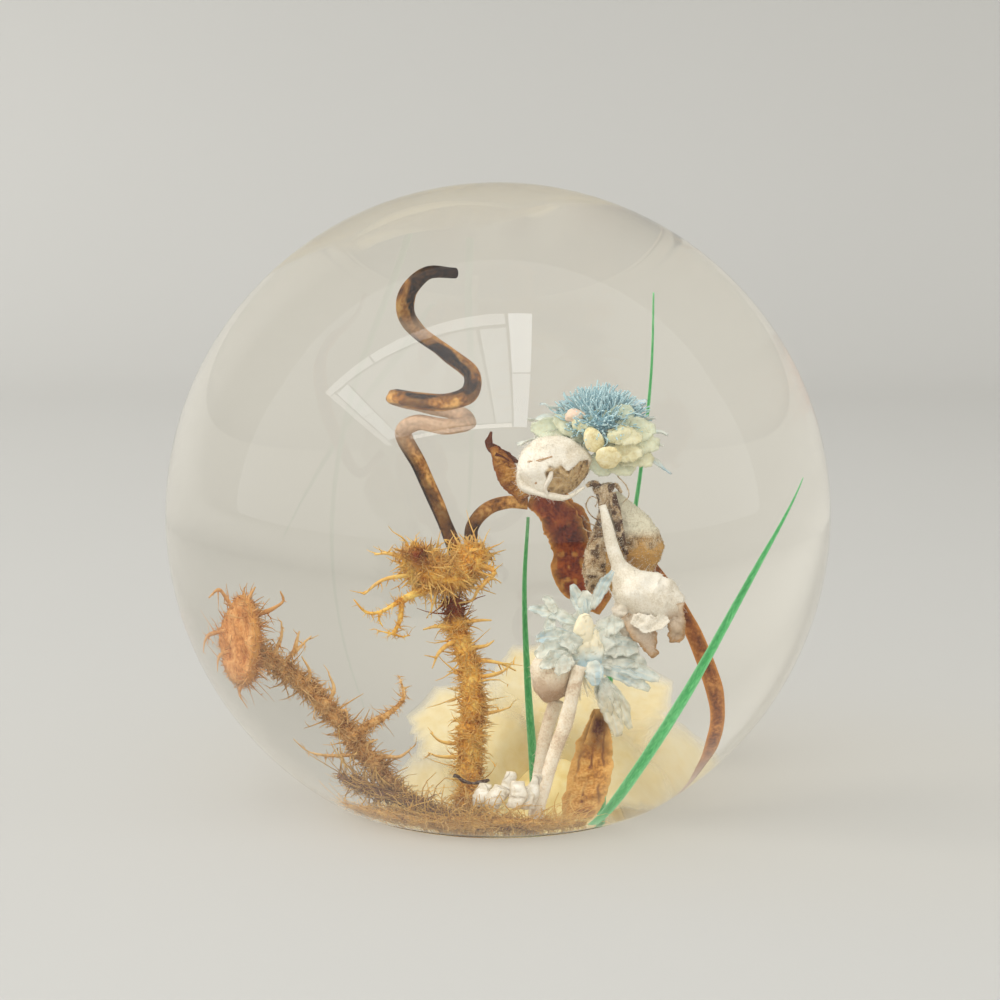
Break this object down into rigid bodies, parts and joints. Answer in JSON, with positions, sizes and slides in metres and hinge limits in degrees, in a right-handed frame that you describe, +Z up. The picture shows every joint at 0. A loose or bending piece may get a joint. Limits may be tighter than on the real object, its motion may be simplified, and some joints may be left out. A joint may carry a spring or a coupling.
{
  "type": "dried flower resin paperweight",
  "caption": "Clear resin ball with a flat foot, holding a small garden of dried bearded lichen, blue flowers, woolly pods, leaves and grass.",
  "frame": {"origin": "middle of the flat foot", "axes": "+Z up, the front with the bristly lichen towards -Y"},
  "size_m": [0.075, 0.075, 0.0698],
  "materials": {
    "clear_resin": "polished",
    "lichen": "matte",
    "lichen_mat": "matte",
    "tendril": "satin",
    "dead_leaf": "satin",
    "striped_leaf": "matte",
    "woolly_felt": "matte",
    "speckled_pod": "matte",
    "blue_petal": "matte",
    "cream_petal": "matte",
    "grass": "satin"
  },
  "bodies": {
    "root": {"resin_dome": "clear_resin", "resin_base": "clear_resin", "tendril": "tendril", "leaf_stalk": "tendril", "lichen_left_stem": "lichen", "lichen_left_cup": "lichen", "lichen_left_twig": "lichen", "lichen_centre_stem": "lichen", "lichen_centre_cup": "lichen", "lichen_centre_twig": "lichen", "lichen_mat": "lichen_mat", "pod_upper": "woolly_felt", "pod_lower": "woolly_felt", "woolly_stem": "woolly_felt", "woolly_bud": "woolly_felt", "felt_stem_front": "woolly_felt", "felt_stem_back": "woolly_felt", "petal_scrap": "woolly_felt", "pod_stalk": "speckled_pod", "speckled_pod_left": "speckled_pod", "speckled_pod_right": "speckled_pod", "flower_upper": "blue_petal", "flower_lower": "blue_petal", "leaf_tip": "striped_leaf", "striped_leaf": "striped_leaf", "dead_leaf": "dead_leaf", "strap_stem": "dead_leaf", "grass_centre": "grass", "grass_back": "grass", "grass_right": "grass", "everlasting_flower": "cream_petal"}
  },
  "joints": []
}
